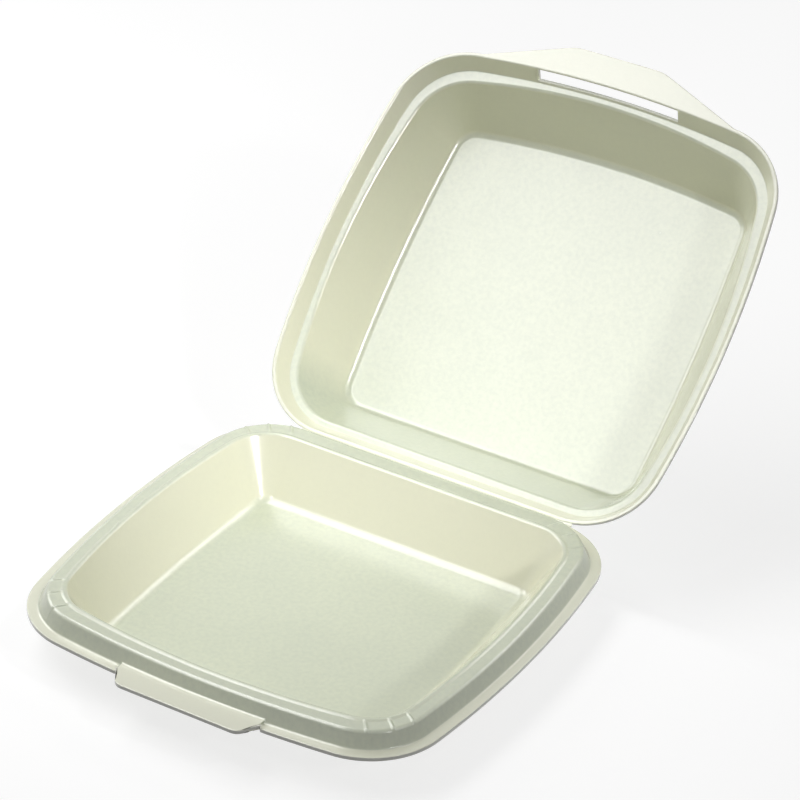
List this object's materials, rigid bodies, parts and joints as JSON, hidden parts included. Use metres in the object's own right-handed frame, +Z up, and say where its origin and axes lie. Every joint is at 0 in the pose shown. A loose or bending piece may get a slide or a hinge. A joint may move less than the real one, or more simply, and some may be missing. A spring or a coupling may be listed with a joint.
{
  "type": "foam clamshell container",
  "caption": "Open hinged foam meal box: shallow tray with a raised rim and a front tab, and a deep lid with a slotted skirt and thumb lip, on a pressed crease.",
  "frame": {"origin": "middle of the tray's plan, on the underside of its floor", "axes": "+X along the hinge to the right, +Y to the back where the lid is hinged, +Z up; the tab points to -Y"},
  "size_m": [0.24, 0.4241, 0.1894],
  "materials": {
    "foam": "pale cream foamed plastic with a smooth satin skin"
  },
  "bodies": {
    "tray_body": {"base_tray": "foam"},
    "lid_body": {"lid": "foam"}
  },
  "joints": [
    {"name": "lid_hinge", "type": "hinge", "parent": "tray_body", "child": "lid_body", "pos_m": [0, 0.1159, 0.02365], "axis": [-1, 0, 0], "range_deg": [-137.3, 42.3]}
  ]
}
